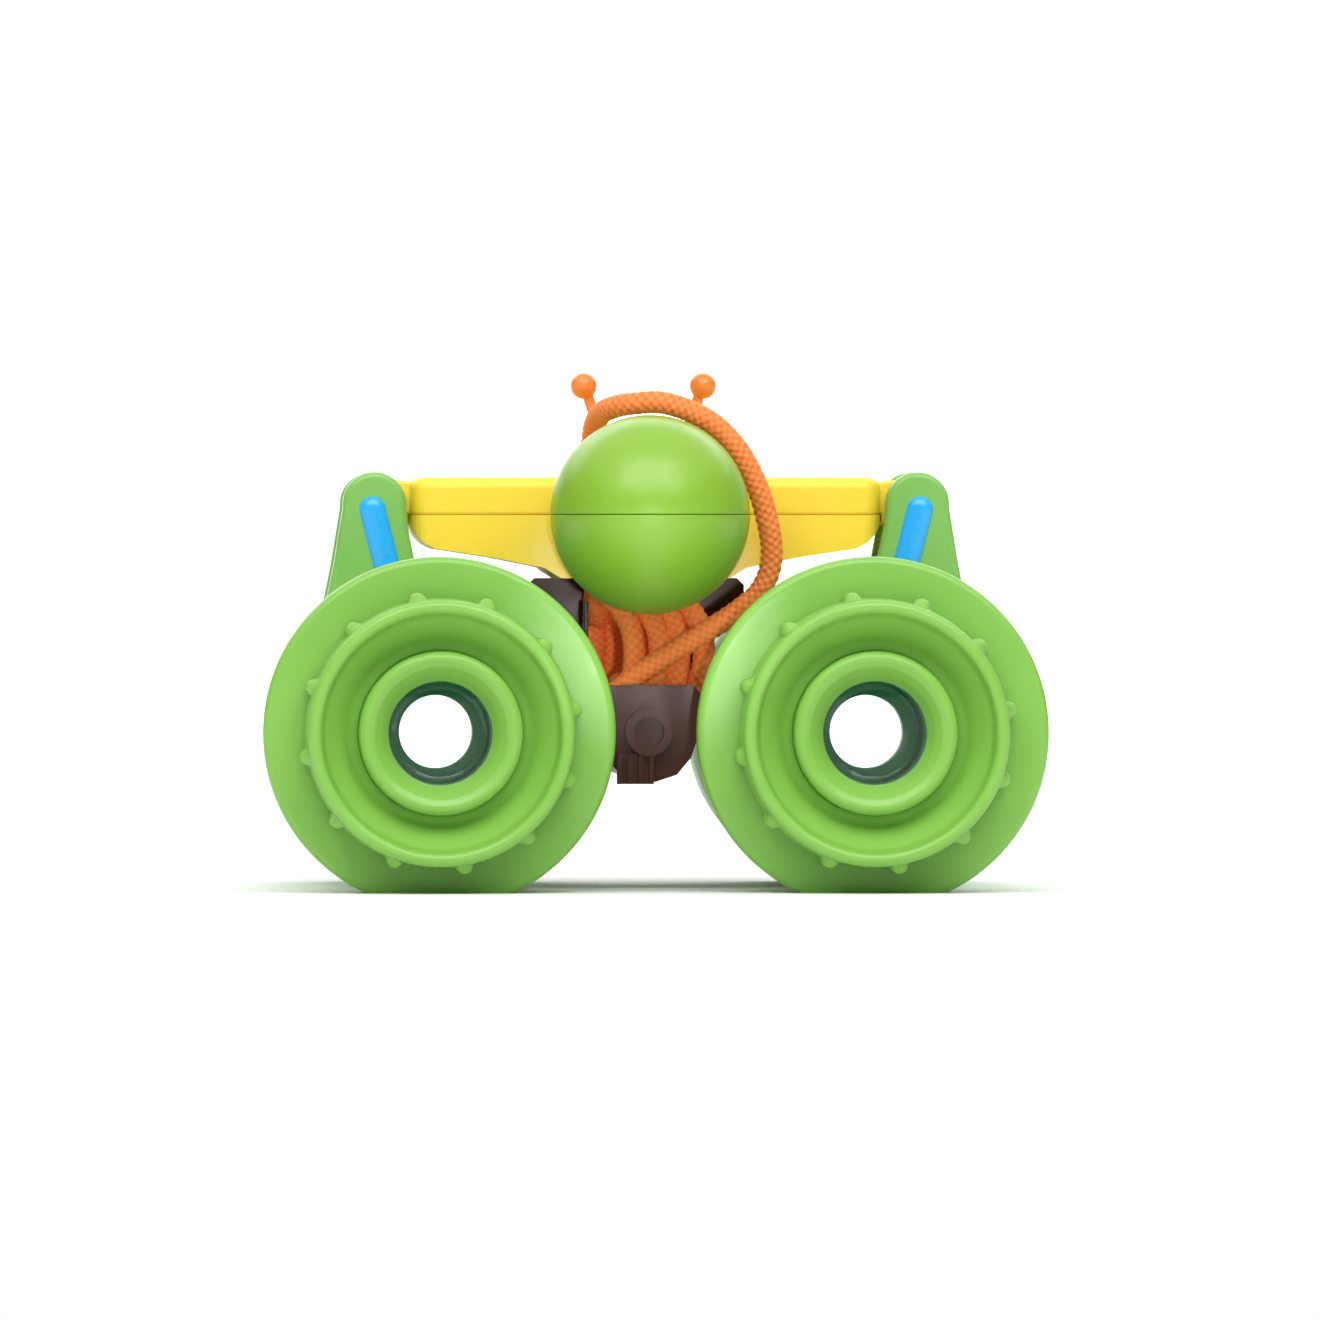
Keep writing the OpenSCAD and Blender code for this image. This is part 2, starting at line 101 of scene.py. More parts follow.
def plastic(name, color, dark, light, rough=0.34, bump=0.05, grain=2000.0, coat=0.0, sss=0.0, spec=0.5):
    """Injection-moulded plastic: faint flow mottling, fine mould grain, uneven gloss."""
    m, nt, sh = new_material(name)
    tc = nt.nodes.new("ShaderNodeTexCoord").outputs["Object"]
    big = noise(nt, tc, 55.0, 2.0)
    fine = noise(nt, tc, grain, 2.0, 0.6)
    mid = noise(nt, tc, 420.0, 3.0)
    c1 = mix_color(nt, remap(nt, big, 0.0, 1.0, 0.35, 0.65), dark, light)
    c2 = mix_color(nt, 0.62, c1, color)
    nt.links.new(c2, sh.inputs["Base Color"])
    nt.links.new(remap(nt, mid, rough - 0.05, rough + 0.06, 0.3, 0.7), sh.inputs["Roughness"])
    bp = nt.nodes.new("ShaderNodeBump")
    bp.inputs["Strength"].default_value = bump
    bp.inputs["Distance"].default_value = 0.00006
    nt.links.new(fine, bp.inputs["Height"])
    bp2 = nt.nodes.new("ShaderNodeBump")
    bp2.inputs["Strength"].default_value = bump * 0.7
    bp2.inputs["Distance"].default_value = 0.0003
    nt.links.new(big, bp2.inputs["Height"])
    nt.links.new(bp.outputs["Normal"], bp2.inputs["Normal"])
    nt.links.new(bp2.outputs["Normal"], sh.inputs["Normal"])
    sh.inputs["IOR"].default_value = 1.5
    sh.inputs["Specular IOR Level"].default_value = spec
    if coat:
        sh.inputs["Coat Weight"].default_value = coat
        sh.inputs["Coat Roughness"].default_value = 0.08
    if sss:
        sh.inputs["Subsurface Weight"].default_value = sss
        sh.inputs["Subsurface Radius"].default_value = (0.0012, 0.0014, 0.0006)
        sh.inputs["Subsurface Scale"].default_value = 1.0
    return m


def metal(name, color, rough):
    m, nt, sh = new_material(name)
    tc = nt.nodes.new("ShaderNodeTexCoord").outputs["Object"]
    n1 = noise(nt, tc, 900.0, 3.0)
    nt.links.new(mix_color(nt, n1, color, tuple(c * 0.8 for c in color)), sh.inputs["Base Color"])
    nt.links.new(remap(nt, n1, rough - 0.06, rough + 0.08, 0.3, 0.7), sh.inputs["Roughness"])
    sh.inputs["Metallic"].default_value = 1.0
    return m


def clear_lens(name, spec=0.2):
    """Clear moulded acrylic with the faintest surface waviness."""
    m, nt, sh = new_material(name)
    tc = nt.nodes.new("ShaderNodeTexCoord").outputs["Object"]
    n1 = noise(nt, tc, 700.0, 2.0)
    nt.links.new(remap(nt, n1, 0.0, 0.012, 0.55, 0.75), sh.inputs["Roughness"])
    sh.inputs["Base Color"].default_value = (0.97, 0.99, 0.985, 1.0)
    sh.inputs["Transmission Weight"].default_value = 1.0
    sh.inputs["Specular IOR Level"].default_value = spec
    sh.inputs["IOR"].default_value = 1.49
    return m


GREEN = plastic("green_plastic", srgb(128, 185, 75), srgb(122, 179, 69), srgb(134, 191, 81), 0.36, bump=0.03)
GREEN_LUG = plastic("lug_green_plastic", srgb(124, 182, 86), srgb(118, 176, 80), srgb(130, 188, 92), 0.36, bump=0.03)
BALL = plastic("ball_green_plastic", srgb(132, 178, 52), srgb(126, 172, 46), srgb(138, 184, 58), 0.33, 0.05)
YELLOW = plastic("yellow_plastic", srgb(254, 216, 66), srgb(252, 212, 61), srgb(255, 220, 72), 0.32, bump=0.015, spec=0.35)
BLUE = plastic("blue_plastic", srgb(36, 168, 246), srgb(31, 163, 243), srgb(42, 173, 249), 0.28, bump=0.015)
ORANGE = plastic("orange_plastic", srgb(240, 136, 58), srgb(232, 126, 48), srgb(247, 146, 70), 0.25)
BROWN = plastic("brown_plastic", srgb(74, 44, 38), srgb(66, 38, 33), srgb(82, 50, 43), 0.34, spec=0.15)
DARK_GREEN = plastic("dark_green_plastic", srgb(76, 172, 104), srgb(68, 162, 96), srgb(84, 182, 112), 0.5)
INNER_GLOW = plastic("inner_green_plastic_painted_glow", srgb(60, 150, 86), srgb(52, 140, 78), srgb(68, 160, 94), 0.7)
inner_sh = next(n for n in INNER_GLOW.node_tree.nodes if n.type == "BSDF_PRINCIPLED")
# faint green emission is painted light: it makes the tube's inside parts glow where little lamp light reaches
inner_sh.inputs["Emission Color"].default_value = (0.010, 0.062, 0.026, 1.0)
inner_sh.inputs["Emission Strength"].default_value = 0.9
inner_sh.inputs["Specular IOR Level"].default_value = 0.1
WHITE = plastic("natural_white_plastic", srgb(225, 225, 220), srgb(215, 215, 208), srgb(235, 235, 230), 0.4)
BLACK = plastic("black_ribbon", srgb(30, 30, 32), srgb(24, 24, 26), srgb(40, 40, 42), 0.45)
STEEL = metal("plated_steel", (0.62, 0.62, 0.64), 0.3)
LENS = clear_lens("clear_acrylic")
# the eye lens sits deep in its ring, where little light reaches its face
EYE_LENS = clear_lens("clear_acrylic_eye", 0.05)

# ---------------------------------------------------------------- mesh helpers


def make(name, verts, faces, body, mat, replaces=(), sharp=38.0, weighted=True, in_mm=True):
    me = bpy.data.meshes.new(name)
    k = MM if in_mm else 1.0
    me.from_pydata([(v[0] * k, v[1] * k, v[2] * k) for v in verts], [], faces)
    bm = bmesh.new()
    bm.from_mesh(me)
    bmesh.ops.remove_doubles(bm, verts=bm.verts, dist=1e-7)
    bmesh.ops.recalc_face_normals(bm, faces=bm.faces)
    bm.to_mesh(me)
    bm.free()
    return dress(name, me, body, mat, replaces, sharp, weighted)


def dress(name, me, body, mat, replaces=(), sharp=38.0, weighted=True):
    me.shade_smooth()
    me.set_sharp_from_angle(angle=math.radians(sharp))
    me.materials.clear()
    me.materials.append(mat)
    ob = bpy.data.objects.new(name, me)
    scene.collection.objects.link(ob)
    if weighted:
        w = ob.modifiers.new("normals", "WEIGHTED_NORMAL")
        w.keep_sharp = True
    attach(ob, body)
    if replaces:
        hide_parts(*replaces)
    return ob


def fillet(pts, rad, n=6):
    """Closed outline with each corner rounded; rad is one number or one for each corner."""
    out = []
    m = len(pts)
    for i in range(m):
        p0, p1, p2 = (np.array(pts[(i + d) % m], float) for d in (-1, 0, 1))
        r = rad[i] if isinstance(rad, (list, tuple)) else rad
        v1, v2 = p0 - p1, p2 - p1
        l1, l2 = np.linalg.norm(v1), np.linalg.norm(v2)
        v1, v2 = v1 / l1, v2 / l2
        c = float(np.clip(np.dot(v1, v2), -1, 1))
        phi = math.acos(c)
        if r <= 0 or phi > math.radians(176) or phi < math.radians(4):
            out.append(tuple(p1))
            continue
        d = r / math.tan(phi / 2)
        lim = 0.48 * min(l1, l2)
        if d > lim:
            d = lim
            r = d * math.tan(phi / 2)
        bis = v1 + v2
        bis /= np.linalg.norm(bis)
        cen = p1 + bis * (r / math.sin(phi / 2))
        a = p1 + v1 * d - cen
        b = p1 + v2 * d - cen
        a0, a1 = math.atan2(a[1], a[0]), math.atan2(b[1], b[0])
        da = (a1 - a0 + math.pi) % (2 * math.pi) - math.pi
        for k in range(n + 1):
            t = a0 + da * k / n
            out.append((cen[0] + r * math.cos(t), cen[1] + r * math.sin(t)))
    return out


def split_long(pts, step):
    """Closed outline with points added so no piece is longer than step."""
    out = []
    for i, p in enumerate(pts):
        q = pts[(i + 1) % len(pts)]
        l = math.hypot(q[0] - p[0], q[1] - p[1])
        k = max(1, int(math.ceil(l / step)))
        for j in range(k):
            t = j / k
            out.append((p[0] + (q[0] - p[0]) * t, p[1] + (q[1] - p[1]) * t))
    return out


def turned(prof, cx, segs=192, bump=None):
    """Vertices and faces of a closed [radius, y] outline turned about the barrel axis at x = cx."""
    n = len(prof)
    verts, faces = [], []
    for r, y in prof:
        for j in range(segs):
            a = 2 * math.pi * j / segs
            rr = r + (bump(a, r, y) if bump else 0.0)
            verts.append((cx + rr * math.sin(a), y, BZ + rr * math.cos(a)))
    for i in range(n):
        i2 = (i + 1) % n
        for j in range(segs):
            j2 = (j + 1) % segs
            faces.append((i * segs + j, i2 * segs + j, i2 * segs + j2, i * segs + j2))
    return verts, faces


def turned_solid(prof, cx, segs=128):
    """The same for an open outline that starts and ends on the axis."""
    verts, faces = [], []
    rows = []
    for r, y in prof:
        if r < 1e-6:
            rows.append([len(verts)])
            verts.append((cx, y, BZ))
        else:
            rows.append(list(range(len(verts), len(verts) + segs)))
            for j in range(segs):
                a = 2 * math.pi * j / segs
                verts.append((cx + r * math.sin(a), y, BZ + r * math.cos(a)))
    for a, b in zip(rows, rows[1:]):
        for j in range(segs):
            j2 = (j + 1) % segs
            if len(a) == 1 and len(b) > 1:
                faces.append((a[0], b[j], b[j2]))
            elif len(b) == 1 and len(a) > 1:
                faces.append((a[j], b[0], a[j2]))
            elif len(a) > 1:
                faces.append((a[j], b[j], b[j2], a[j2]))
    return verts, faces


def mesh_of(verts, faces):
    me = bpy.data.meshes.new("tmp")
    me.from_pydata([(v[0] * MM, v[1] * MM, v[2] * MM) for v in verts], [], faces)
    bm = bmesh.new()
    bm.from_mesh(me)
    bmesh.ops.remove_doubles(bm, verts=bm.verts, dist=1e-7)
    bmesh.ops.recalc_face_normals(bm, faces=bm.faces)
    bm.to_mesh(me)
    bm.free()
    return me


def cut_foot(me):
    """Cuts a mesh flat at the floor and closes it."""
    bm = bmesh.new()
    bm.from_mesh(me)
    bmesh.ops.bisect_plane(bm, geom=bm.verts[:] + bm.edges[:] + bm.faces[:], dist=1e-7,
                           plane_co=(0, 0, 0), plane_no=(0, 0, -1), clear_outer=True)
    rim = [e for e in bm.edges if e.is_boundary]
    made = bmesh.ops.holes_fill(bm, edges=rim, sides=0)
    bmesh.ops.recalc_face_normals(bm, faces=bm.faces)
    bm.to_mesh(me)
    bm.free()
    return me


def extruded(outline, y0, y1, edge=0.6, segs=3):
    """XZ outline extruded from y0 to y1 with rounded front and back edges."""
    me = bpy.data.meshes.new("tmp")
    bm = bmesh.new()
    a = [bm.verts.new((x * MM, y0 * MM, z * MM)) for x, z in outline]
    b = [bm.verts.new((x * MM, y1 * MM, z * MM)) for x, z in outline]
    n = len(outline)
    bm.faces.new(a)
    bm.faces.new(list(reversed(b)))
    for i in range(n):
        bm.faces.new((a[i], b[i], b[(i + 1) % n], a[(i + 1) % n]))
    bmesh.ops.recalc_face_normals(bm, faces=bm.faces)
    if edge:
        rim = [e for e in bm.edges if abs(e.verts[0].co.y - e.verts[1].co.y) < 1e-7]
        bmesh.ops.bevel(bm, geom=rim, offset=edge * MM, segments=segs, profile=0.5,
                        affect="EDGES", clamp_overlap=True)
    bm.to_mesh(me)
    bm.free()
    return me


def boolean(me, others, op="UNION"):
    """Applies exact booleans of other meshes to a mesh and returns the result."""
    ob = bpy.data.objects.new("tmp_base", me)
    scene.collection.objects.link(ob)
    tools = []
    for o in others:
        t = bpy.data.objects.new("tmp_tool", o)
        scene.collection.objects.link(t)
        tools.append(t)
        m = ob.modifiers.new("b", "BOOLEAN")
        m.operation = op
        m.solver = "EXACT"
        m.object = t
    dg = bpy.context.evaluated_depsgraph_get()
    out = bpy.data.meshes.new_from_object(ob.evaluated_get(dg))
    for t in tools + [ob]:
        bpy.data.objects.remove(t)
    return out


def mirrored(me):
    """Copy of a mesh mirrored in X, with its faces turned the right way."""
    c = me.copy()
    c.transform(Matrix.Scale(-1, 4, Vector((1, 0, 0))))
    c.flip_normals()
    return c


def soften(node, mat, width=0.3, segs=2, angle=30.0):
    """A CAD node that stays: welded, its flat faces joined, its edges rounded."""
    ob = nodes[node]
    ob.data.materials.clear()
    ob.data.materials.append(mat)
    w = ob.modifiers.new("weld", "WELD")
    w.merge_threshold = 2e-6
    d = ob.modifiers.new("flat", "DECIMATE")
    d.decimate_type = "DISSOLVE"
    d.angle_limit = math.radians(0.6)
    if width:
        b = ob.modifiers.new("edge", "BEVEL")
        b.width = width * MM
        b.segments = segs
        b.limit_method = "ANGLE"
        b.angle_limit = math.radians(angle)
        b.use_clamp_overlap = True
        b.harden_normals = False
    n = ob.modifiers.new("normals", "WEIGHTED_NORMAL")
    n.keep_sharp = True
    return ob


def arc(c, r, a0, a1, n):
    return [(c[0] + r * math.cos(math.radians(a0 + (a1 - a0) * i / n)),
             c[1] + r * math.sin(math.radians(a0 + (a1 - a0) * i / n))) for i in range(n + 1)]


# ---------------------------------------------------------------- barrels

NUBS = 12


def nub_bump(a, r, y):
    """Half-round grip nubs on the eyecup's outer wall."""
    if r < 18.3 or y < -48.5 or y > -41.6:
        return 0.0
    d = (a - math.radians(-10)) % (2 * math.pi / NUBS)
    d = min(d, 2 * math.pi / NUBS - d) * 18.9
    e = max(0.0, -47.2 - y)
    h2 = 1.25 ** 2 - d * d - e * e
    if h2 <= 0:
        return 0.0
    return max(0.0, 18.7 + math.sqrt(h2) - r)


FLANGE = fillet([(15.05, -41), (24.7, -41), (24.7, -36), (17.6, -36), (17.6, -33.5), (16.6, -33.5),
                 (16.6, -36), (15.05, -36)], [0.3, 1.1, 0.8, 0.1, 0.2, 0.2, 0.1, 0.2], 6)
LIP = arc((17.65, -50.05), 0.95, 0, -180, 16)
CUP = fillet([(13, -33.2), (15, -33.2), (15, -34.6), (14.2, -34.6), (14.2, -35.8), (15, -35.8),
              (15, -41.3), (18.9, -41.3), (18.9, -44)] + LIP
             + [(16.3, -48.4), (12.9, -44.75), (11.506, -44.5), (11.506, -43.8), (13, -43.8)],
             [0.2, 0.3, 0.1, 0.1, 0.1, 0.1, 0.1, 0.5, 0] + [0] * len(LIP) + [1.6, 1.6, 0.3, 0.1, 0.1], 7)
CUP = split_long(CUP, 0.42)
CARRIER = fillet([(7.3, -45.3), (8.3, -46.9), (9.3, -48.0), (10.5, -48.6), (11.4, -48.0), (11.5, -46.8),
                  (11.5, -34.5), (9.6, -34.5), (9.6, -41), (7.7, -41), (7.7, -44.6), (7.3, -44.6)],
                 [0.3, 2.0, 1.6, 1.2, 0.7, 0.6, 0.3, 0.2, 0.1, 0.1, 0.1, 0.1], 7)
TUBE = fillet([(17.6, -36), (20, -36), (20, 31), (17.6, 31)], 0.15, 3)
BELL = fillet([(16.2, 27), (17.6, 27), (17.6, 31), (20, 31), (20.15, 32.6), (20.7, 35.2), (21.5, 37.8),
               (22.1, 40), (22.3, 42), (22.3, 51), (20.5, 51), (20.5, 46), (19.3, 46), (19.3, 41.4),
               (17.2, 41.4), (16.6, 36), (16.2, 33)],
              [0.2, 0.2, 0.1, 0.1, 1, 3, 3, 3, 2, 0.85, 0.4, 0.2, 0.2, 0.2, 0.2, 1, 1], 5)
RING = fillet([(19.3, 42.75), (19.3, 46), (18.5, 46), (17.4, 45), (17.2, 44.4), (17.2, 43.35), (18.9, 42.85)],
              [0.05, 0.2, 0.3, 0.3, 0.2, 0.05, 0.02], 4)
PAD = [(BX - 6.0, 0.0), (BX + 6.0, 0.0), (BX + 6.5, 0.5), (BX + 8.2, 2.6)] + arc((BX, BZ), 21.4, -69, -111, 16) + [(BX - 8.2, 2.6), (BX - 6.5, 0.5)]

EAR = arc((PX, PZ), 4.5, -6, 186, 40) + [(33.9, 51.5), (33.0, 47), (31.2, 40.5), (46.3, 33.5), (45.6, 40), (44.4, 46)]


def lens_profile_eye():
    """Flat to the eye, hollow to the inside."""
    c = -41.6 + math.sqrt(19 ** 2 - 7.5 ** 2)
    p = [(0, -44.6)] + [(7.7 * i / 10, -44.6) for i in range(1, 11)] + [(7.7, -41.6), (7.5, -41.6)]
    for i in range(23, -1, -1):
        r = 7.5 * i / 24
        p.append((r, c - math.sqrt(19 ** 2 - r * r)))
    return p


def lens_profile_objective():
    c = 42.6 - math.sqrt(60 ** 2 - 19.2 ** 2)
    p = [(0, 41.4)] + [(19.2 * i / 10, 41.4) for i in range(1, 11)]
    for i in range(40, -1, -1):
        r = 19.2 * i / 40
        p.append((r, c + math.sqrt(60 ** 2 - r * r)))
    return p


def tube_with_ears():
    me = mesh_of(*turned(split_long(TUBE, 8.0), BX, 160))
    ears = [extruded(EAR, -6, -1, 0.9, 4), extruded(EAR, 12, 17, 0.9, 4)]
    core = mesh_of(*turned_solid([(0, -37), (17.6, -37), (17.6, 32), (0, 32)], BX, 160))
    ears = [boolean(e, [core.copy()], "DIFFERENCE") for e in ears]
    return boolean(me, ears)


def inlay():
    """Round-backed strip let into the lug."""
    ax, az, bx, bz, r = 38.9, 53.8, 36.4, 44.0, 1.95
    ang = math.degrees(math.atan2(az - bz, ax - bx))
    rings = [(-4.5, 0.0), (-5.6, 0.0)]
    for i in range(1, 11):
        t = math.pi / 2 * i / 10
        rings.append((-5.6 - 1.3 * math.sin(t), 1.9 * (1 - math.cos(t))))
    verts, faces = [], []
    n = 0
    for y, w in rings:
        o = arc((ax, az), r - w, ang - 90, ang + 90, 20) + arc((bx, bz), r - w, ang + 90, ang + 270, 20)
        n = len(o)
        verts += [(x, y, z) for x, z in o]
    for i in range(len(rings) - 1):
        for j in range(n):
            k = (j + 1) % n
            faces.append((i * n + j, i * n + k, (i + 1) * n + k, (i + 1) * n + j))
    faces.append(tuple(range(n)))
    last = (len(rings) - 1) * n
    faces.append(tuple(last + j for j in reversed(range(n))))
    return mesh_of(verts, faces)


TUBE_MESH = tube_with_ears()
INLAY_MESH = inlay()
BELL_MESH = boolean(mesh_of(*turned(BELL, BX, 224)), [extruded(PAD, 42, 50, 0.0)])

for side, s in SIDES:
    barrel, ring, slide = side + "_barrel", side + "_focus_ring", side + "_lens_slide"
    cx = s * BX
    me = cut_foot(mesh_of(*turned(FLANGE, cx, 224)))
    dress(side + "_flange_disc", me, barrel, GREEN, (side + "_rear_flange",))
    me = TUBE_MESH.copy() if s > 0 else mirrored(TUBE_MESH)
    dress(side + "_tube_and_lugs", me, barrel, GREEN_LUG, (side + "_barrel_tube",), 30)
    me = BELL_MESH.copy() if s > 0 else mirrored(BELL_MESH)
    dress(side + "_bell", me, barrel, GREEN, (side + "_objective_bell",))
    v, f = turned_solid(lens_profile_objective(), cx, 128)
    make(side + "_front_lens", v, f, barrel, LENS, (side + "_objective_lens",), 30, False)
    v, f = turned(RING, cx, 128)
    make(side + "_front_lens_ring", v, f, barrel, DARK_GREEN, (side + "_objective_ring",))
    v, f = turned(CUP, cx, 384, nub_bump)
    make(side + "_eyecup_nubbed", v, f, ring, GREEN, (side + "_eyecup",), 50, False)
    v, f = turned(CARRIER, cx, 192)
    make(side + "_lens_cell", v, f, slide, GREEN, (side + "_lens_carrier",))
    v, f = turned_solid(lens_profile_eye(), cx, 128)
    make(side + "_eye_glass", v, f, slide, EYE_LENS, (side + "_eye_lens",), 30, False)
    me = INLAY_MESH.copy() if s > 0 else mirrored(INLAY_MESH)
    dress(side + "_lug_strip", me, barrel, BLUE, (side + "_lug_inlay",), 60, False)
    soften(side + "_light_baffle", INNER_GLOW, 0.0)
    soften(side + "_focus_guide", INNER_GLOW, 0.0)
    soften(side + "_lens_retainer", INNER_GLOW, 0.0)
    soften(side + "_hinge_pin", STEEL, 0.25)
    soften(side + "_ring_clip", WHITE, 0.0)
    soften(side + "_carrier_pins", STEEL, 0.0)

# ---------------------------------------------------------------- ball


def ball_half(sign):
    """Hollow half ball; the edge at the parting line is slightly rounded so the seam shows."""
    R, r, cz = 14.1, 12.0, 53.0
    gap, e = 0.03, 0.2
    prof = []
    n = 40
    for i in range(n + 1):
        a = math.pi / 2 * i / n
        prof.append((R * math.cos(math.pi / 2 - a), R * math.sin(math.pi / 2 - a)))
    outer = [p for p in prof if p[1] > gap + e]
    edge = [(R - 0.005, gap + e), (R - 0.03, gap + e * 0.5), (R - 0.09, gap + e * 0.18), (R - 0.2, gap + 0.01), (R - 0.5, gap)]
    inner = [(r * math.cos(math.pi / 2 * i / 16), max(gap, r * math.sin(math.pi / 2 * i / 16))) for i in range(17)]
    line = outer + edge + inner
    segs = 160
    verts, faces, rows = [], [], []
    for q, h in line:
        if q < 1e-6:
            rows.append([len(verts)])
            verts.append((0, -18, cz + sign * h))
        else:
            rows.append(list(range(len(verts), len(verts) + segs)))
            for j in range(segs):
                a = 2 * math.pi * j / segs
                verts.append((q * math.cos(a), -18 + q * math.sin(a), cz + sign * h))
    for a, b in zip(rows, rows[1:]):
        for j in range(segs):
            k = (j + 1) % segs
            if len(a) == 1:
                faces.append((a[0], b[j], b[k]))
            elif len(b) == 1:
                faces.append((a[j], b[0], a[k]))
            else:
                faces.append((a[j], b[j], b[k], a[k]))
    return verts, faces


for nm, sg in (("ball_upper", 1), ("ball_lower", -1)):
    v, f = ball_half(sg)
    make(nm + "_half", v, f, "bridge", BALL, (nm,), 50, False)
soften("neck_stem", BALL, 0.3)

# ---------------------------------------------------------------- bridge


def plan_half(w):
    return (arc((30.5, -0.5), 3 - w, -90, 0, 8) + arc((28.5, 22), 5 - w, 0, 90, 12)
            + arc((18, 31), 4 + w, 270, 180, 12) + arc((8, 36), 6 - w, 0, 90, 12))


def plan(w):
    h = plan_half(w)
    return h + [(-x, y) for x, y in reversed(h)]


def upper_shell():
    rings = [(53.02, 1.2), (53.02, 0.45), (53.1, 0.2), (53.28, 0.05), (53.5, 0.0), (56.6, 0.0)]
    for i in range(1, 9):
        t = math.pi / 2 * i / 8
        rings.append((56.6 + 1.8 * math.sin(t), 1.8 * (1 - math.cos(t))))
    verts, faces = [], []
    n = 0
    for z, w in rings:
        o = plan(w)
        n = len(o)
        verts += [(x, y, z) for x, y in o]
    for i in range(len(rings) - 1):
        for j in range(n):
            k = (j + 1) % n
            faces.append((i * n + j, i * n + k, (i + 1) * n + k, (i + 1) * n + j))
    faces.append(tuple(range(n)))
    last = (len(rings) - 1) * n
    faces.append(tuple(last + j for j in reversed(range(n))))
    me = mesh_of(verts, faces)
    arm = [(32.0, 57.7), (37.8, 58.12)] + arc((PX, PZ), 3.6, 84, -84, 24) + [(34.7, 51.4), (33.65, 51.9), (33.6, 53.05), (32.0, 53.05)]
    k = extruded(arm, -0.7, 11.7, 0.45, 3)
    return boolean(me, [k, mirrored(k)])


dress("bridge_top_cover", upper_shell(), "bridge", YELLOW, ("bridge_upper_shell",), 30)
soften("bridge_lower_shell", YELLOW, 0.45, 3, 32)
soften("underbody", BROWN, 0.5, 3, 30)
soften("bridge_screws", STEEL, 0.1, 1)
soften("underbody_screws", STEEL, 0.1, 1)
soften("cord_grommet_top", YELLOW, 0.5, 3)
soften("cord_grommet_rear", YELLOW, 0.5, 3)
soften("cord_tie", BLACK, 0.15, 2)


def sweep(path, radii, sides):
    """Rings of given radii along a path, closed at both ends; (vertices, faces)."""
    p = np.array(path, float)
    t = np.gradient(p, axis=0)
    t /= np.linalg.norm(t, axis=1)[:, None]
    ref = np.array([0.0, 1.0, 0.0])
    nrm = ref - t[0] * np.dot(ref, t[0])
    nrm /= np.linalg.norm(nrm)
    verts, faces = [], []
    for i in range(len(p)):
        nrm = nrm - t[i] * np.dot(nrm, t[i])
        nrm /= np.linalg.norm(nrm)
        b = np.cross(t[i], nrm)
        for j in range(sides):
            a = 2 * math.pi * j / sides
            verts.append(tuple(p[i] + radii[i] * (math.cos(a) * nrm + math.sin(a) * b)))
    for i in range(len(p) - 1):
        for j in range(sides):
            k = (j + 1) % sides
            faces.append((i * sides + j, i * sides + k, (i + 1) * sides + k, (i + 1) * sides + j))
    faces.append(tuple(reversed(range(sides))))
    faces.append(tuple((len(p) - 1) * sides + j for j in range(sides)))
    return verts, faces


for side, s in SIDES:
    base, tip = np.array([5.5, 5, 58.35]), np.array([8.5, 5, 71.4])
    top = np.array([7.9, 5, 66.0])
    path, rad = [], []
    for i in range(41):
        u = i / 40
        q = (1 - u) ** 2 * base + 2 * u * (1 - u) * np.array([5.9, 5, 65.0]) + u * u * tip
        path.append((q[0] * s, q[1], q[2]))
        h = q[2] - 58.35
        flare = 1.05 * math.exp(-(h / 0.75) ** 2)
        rad.append(0.78 + flare)
    # the ball on the end, as rings along the last direction
    d = np.array(path[-1]) - np.array(path[-2])
    d /= np.linalg.norm(d)
    c = np.array([tip[0] * s, tip[1], tip[2]])
    keep = [i for i in range(41) if np.linalg.norm(np.array(path[i]) - c) > 1.85]
    path = [path[i] for i in keep]
    rad = [rad[i] for i in keep]
    for i in range(19):
        a = math.radians(-65 + 154.0 * i / 18)
        path.append(tuple(c + d * 1.88 * math.sin(a)))
        rad.append(1.88 * math.cos(a))
    v, f = sweep(path, rad, 40)
    make(side + "_feeler_bent", v, f, "bridge", ORANGE, (side + "_feeler",), 70, False)

# ---------------------------------------------------------------- cord

LEAD = [
    (-7.6, 0.8, 59.6), (-7.6, 0.77, 60.6), (-7.58, 0.5, 62.1), (-7.5, -0.15, 63.6),
    (-7.35, -1.25, 65), (-7.1, -2.8, 66.2), (-6.7, -4.9, 67.1), (-6.15, -7.5, 67.7),
    (-5.3, -10.3, 68.1), (-4, -12.9, 68.5), (-1.6, -14.9, 68.8), (1.6, -15.8, 68.9),
    (5.2, -15.8, 67.9), (8.7, -15.7, 66.1), (11.7, -15.3, 63.3), (14.1, -14.7, 59.7),
    (15.9, -13.9, 55.5), (17, -13.1, 51.4), (17.5, -12.4, 48.4), (17.4, -11.9, 46),
    (16.8, -11.5, 43.9), (15.7, -11.2, 42), (14.2, -11, 40.5), (11.8, -10.7, 38.7),
    (9.1, -10.5, 37), (6.4, -10.3, 35.3), (3.4, -10.1, 33.5), (0.6, -9.8, 31.7),
    (-2, -9.2, 29.8), (-4.3, -7.7, 27.8), (-5.8, -5.4, 26.3), (-6.2, -2.9, 25.6),
    (-6.2, -0.5, 25.5),
]
TAIL = [(6.2, 29.5, 33.7), (6.2, 29.45, 36), (6.2, 29.25, 38.2), (6.2, 29, 40), (6.2, 28.9, 41), (6.2, 28.9, 41.95)]
# how far each loop's front end hangs forward, and how far it leans over
LOOP_REACH = (0.0, 0.5, -0.3, 0.35)
LOOP_LEAN = (3.1, 3.6, 3.2, 3.7)


